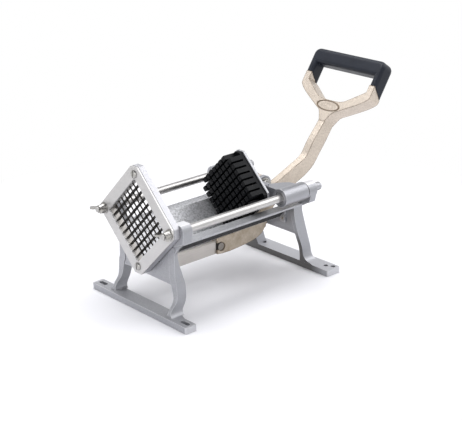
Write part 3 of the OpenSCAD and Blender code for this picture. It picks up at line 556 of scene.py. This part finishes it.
def soften(o, width):
    """Rounds the edges of a CAD node and keeps its flat faces flat."""
    weld = o.modifiers.new("weld", "WELD")
    weld.merge_threshold = WELD_GAP * MM
    flat = o.modifiers.new("flat", "DECIMATE")
    flat.decimate_type = "DISSOLVE"
    flat.angle_limit = math.radians(FLAT_ANGLE)
    bevel = o.modifiers.new("bevel", "BEVEL")
    bevel.width = width * MM
    bevel.segments = BEVEL_SEGMENTS
    bevel.limit_method = "ANGLE"
    bevel.angle_limit = math.radians(SHARP_ANGLE)
    bevel.miter_outer = "MITER_ARC"
    bevel.use_clamp_overlap = True
    normals = o.modifiers.new("normals", "WEIGHTED_NORMAL")
    normals.weight = FACE_WEIGHT
    normals.keep_sharp = False


for name, node in NODES.items():
    node.data.materials.clear()
    node.data.materials.append(LOOKS[LOOK_OF[name]].mat)
    if name in BEVEL_WIDTH:
        soften(node, BEVEL_WIDTH[name])

# ---------------------------------------------------------------- floor, world and lamps
FLOOR_HALF_SIDE = 14.0                  # m
FLOOR_PLACE = (0.16, 0.0, -0.0003)
FLOOR_TONE, FLOOR_ROUGHNESS = (0.86, 0.86, 0.885), 0.9
SHADOW_RADIUS = (0.34, 0.62)            # m round the floor's middle: lit floor, then plain white
WORLD_LIGHT = 0.80
# tones of the room by the sine of the height over the horizon: bright up to 27 degrees, darker
# over that between the soft boxes, and a little lighter overhead
ROOM_LOW = (0.45, (1.15, 1.15, 1.17))
ROOM_MIDDLE = (0.62, (0.30, 0.30, 0.32))
ROOM_TOP = (1.0, (0.44, 0.44, 0.47))
WHITE = (1, 1, 1)
COOL_WHITE = (0.98, 0.99, 1.0)
# soft boxes: name, place and aim in metres, side in metres, power in watts, colour
LAMPS = (
    ("top_box", (0.1, 0.35, 1.5), (0.17, 0.0, 0.1), 1.2, 20.0, WHITE),
    ("rear_box", (1.05, -0.50, 1.15), (0.15, 0.0, 0.1), 1.1, 9.5, WHITE),
    ("front_fill", (-1.15, -1.1, 0.85), (0.1, 0.0, 0.08), 1.0, 5.0, COOL_WHITE),
)


def make_floor():
    """Pale floor that takes the object's shadow and is plain white to the camera further out."""
    bm = bmesh.new()
    bmesh.ops.create_grid(bm, x_segments=2, y_segments=2, size=FLOOR_HALF_SIDE)
    me = bpy.data.meshes.new("floor")
    bm.to_mesh(me)
    bm.free()
    o = bpy.data.objects.new("floor", me)
    o.location = FLOOR_PLACE
    bpy.context.collection.objects.link(o)
    t = Tree("floor_white")
    t.base = FLOOR_TONE
    t.put(FLOOR_ROUGHNESS, 0.0)
    t.specular(0.0)
    far = t.span(t.length(t.coord.outputs["Object"]), 0.0, 1.0, *SHADOW_RADIUS)
    plain = t.product(seen_by(t.t, "Is Camera Ray", "Is Glossy Ray"), far)
    white = t.t.nodes.new("ShaderNodeEmission")
    surface = mix_shader(t.t, plain, t.bsdf.outputs[0], white.outputs[0])
    t.link(surface, t.t.nodes["Material Output"].inputs["Surface"])
    o.data.materials.append(t.mat)


def make_world():
    """Soft studio room that lights the object, with a plain white background for the camera."""
    w = bpy.data.worlds.new("studio")
    bpy.context.scene.world = w
    w.use_nodes = True
    t = w.node_tree
    t.nodes.clear()
    out = t.nodes.new("ShaderNodeOutputWorld")
    background = t.nodes.new("ShaderNodeBackground")
    background.inputs["Color"].default_value = (*WHITE, 1)
    background.inputs["Strength"].default_value = 1.0
    room = t.nodes.new("ShaderNodeBackground")
    room.inputs["Strength"].default_value = WORLD_LIGHT
    coord = t.nodes.new("ShaderNodeTexCoord")
    sep = t.nodes.new("ShaderNodeSeparateXYZ")
    ramp = t.nodes.new("ShaderNodeValToRGB")
    elements = ramp.color_ramp.elements
    for element, (position, tone) in zip(elements, (ROOM_LOW, ROOM_TOP)):
        element.position, element.color = position, (*tone, 1)
    # a new stop renumbers those after it, so it comes last
    position, tone = ROOM_MIDDLE
    elements.new(position).color = (*tone, 1)
    t.links.new(coord.outputs["Generated"], sep.inputs[0])
    t.links.new(sep.outputs["Z"], ramp.inputs["Fac"])
    t.links.new(ramp.outputs["Color"], room.inputs["Color"])
    seen = seen_by(t, "Is Camera Ray", "Is Transmission Ray")
    t.links.new(mix_shader(t, seen, room.outputs[0], background.outputs[0]), out.inputs["Surface"])


def area_lamp(name, place, aim, side, power, color):
    """Square soft box that points at the aim."""
    data = bpy.data.lights.new(name, "AREA")
    data.shape = "RECTANGLE"
    data.size = data.size_y = side
    data.energy = power
    data.color = color
    o = bpy.data.objects.new(name, data)
    bpy.context.collection.objects.link(o)
    o.location = place
    ray = Vector(aim) - Vector(place)
    o.rotation_euler = ray.to_track_quat("-Z", "Y").to_euler()


make_floor()
make_world()
for lamp in LAMPS:
    area_lamp(*lamp)

make_camera()
bpy.context.scene.view_settings.view_transform = "Standard"
